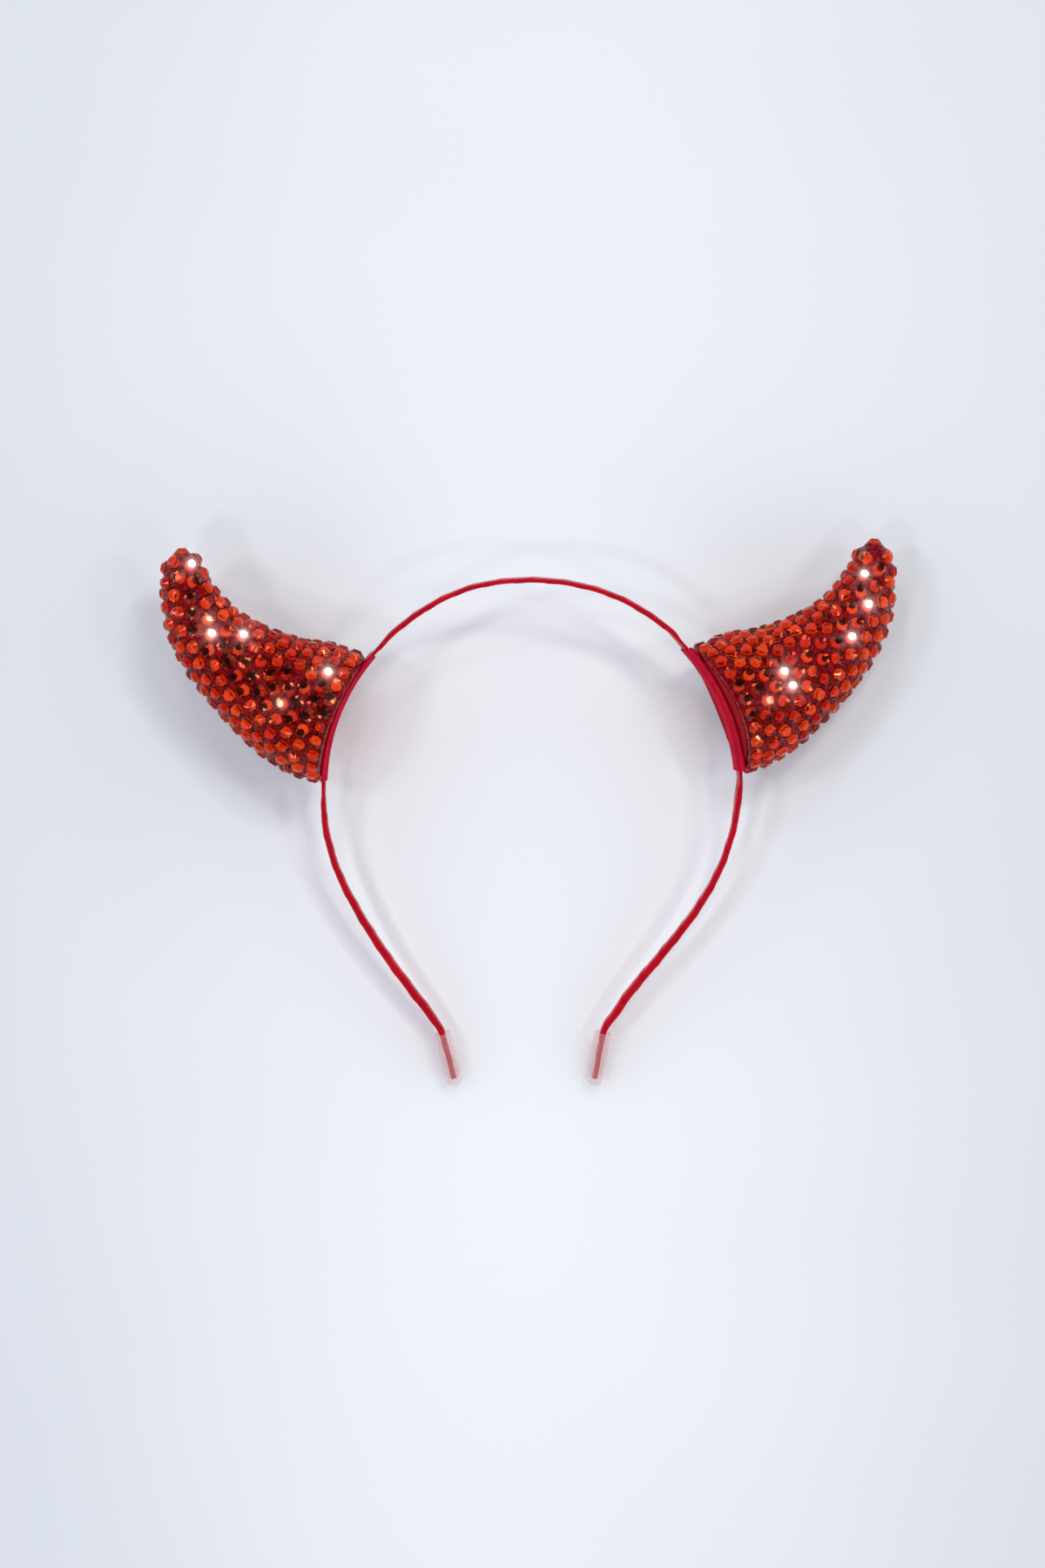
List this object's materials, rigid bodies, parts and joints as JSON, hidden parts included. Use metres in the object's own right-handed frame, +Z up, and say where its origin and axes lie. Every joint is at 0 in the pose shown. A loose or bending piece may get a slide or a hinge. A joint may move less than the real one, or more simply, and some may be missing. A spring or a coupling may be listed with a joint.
{
  "type": "horned headband",
  "caption": "Springy ribbon-wrapped headband with curved horns set all over with cut stones, felt pads and strips that hold them, and clear caps on the band's ends.",
  "frame": {"origin": "centre of the footprint, on the surface that the headband lies on", "axes": "+X from the left horn to the right horn as the picture shows them, +Y from the end caps to the crown, +Z up from the surface"},
  "size_m": [0.2354, 0.177, 0.0423],
  "materials": {
    "satin_ribbon": "red satin ribbon wound edge to edge over a spring-steel strip, with a soft sheen",
    "clear_vinyl": "clear soft vinyl, smooth, faintly pink from the ribbon inside",
    "cut_stones": "orange-red foiled cut stones on crimson glossy glue over a light foam body",
    "crimson_felt": "crimson felt, matt, with a short nap"
  },
  "bodies": {
    "root": {"wrapped_band": "satin_ribbon", "end_cap_left": "clear_vinyl", "end_cap_right": "clear_vinyl", "horn_left": "cut_stones", "horn_right": "cut_stones", "felt_pad_left": "crimson_felt", "felt_pad_right": "crimson_felt", "felt_strip_left": "crimson_felt", "felt_strip_right": "crimson_felt"}
  },
  "joints": []
}
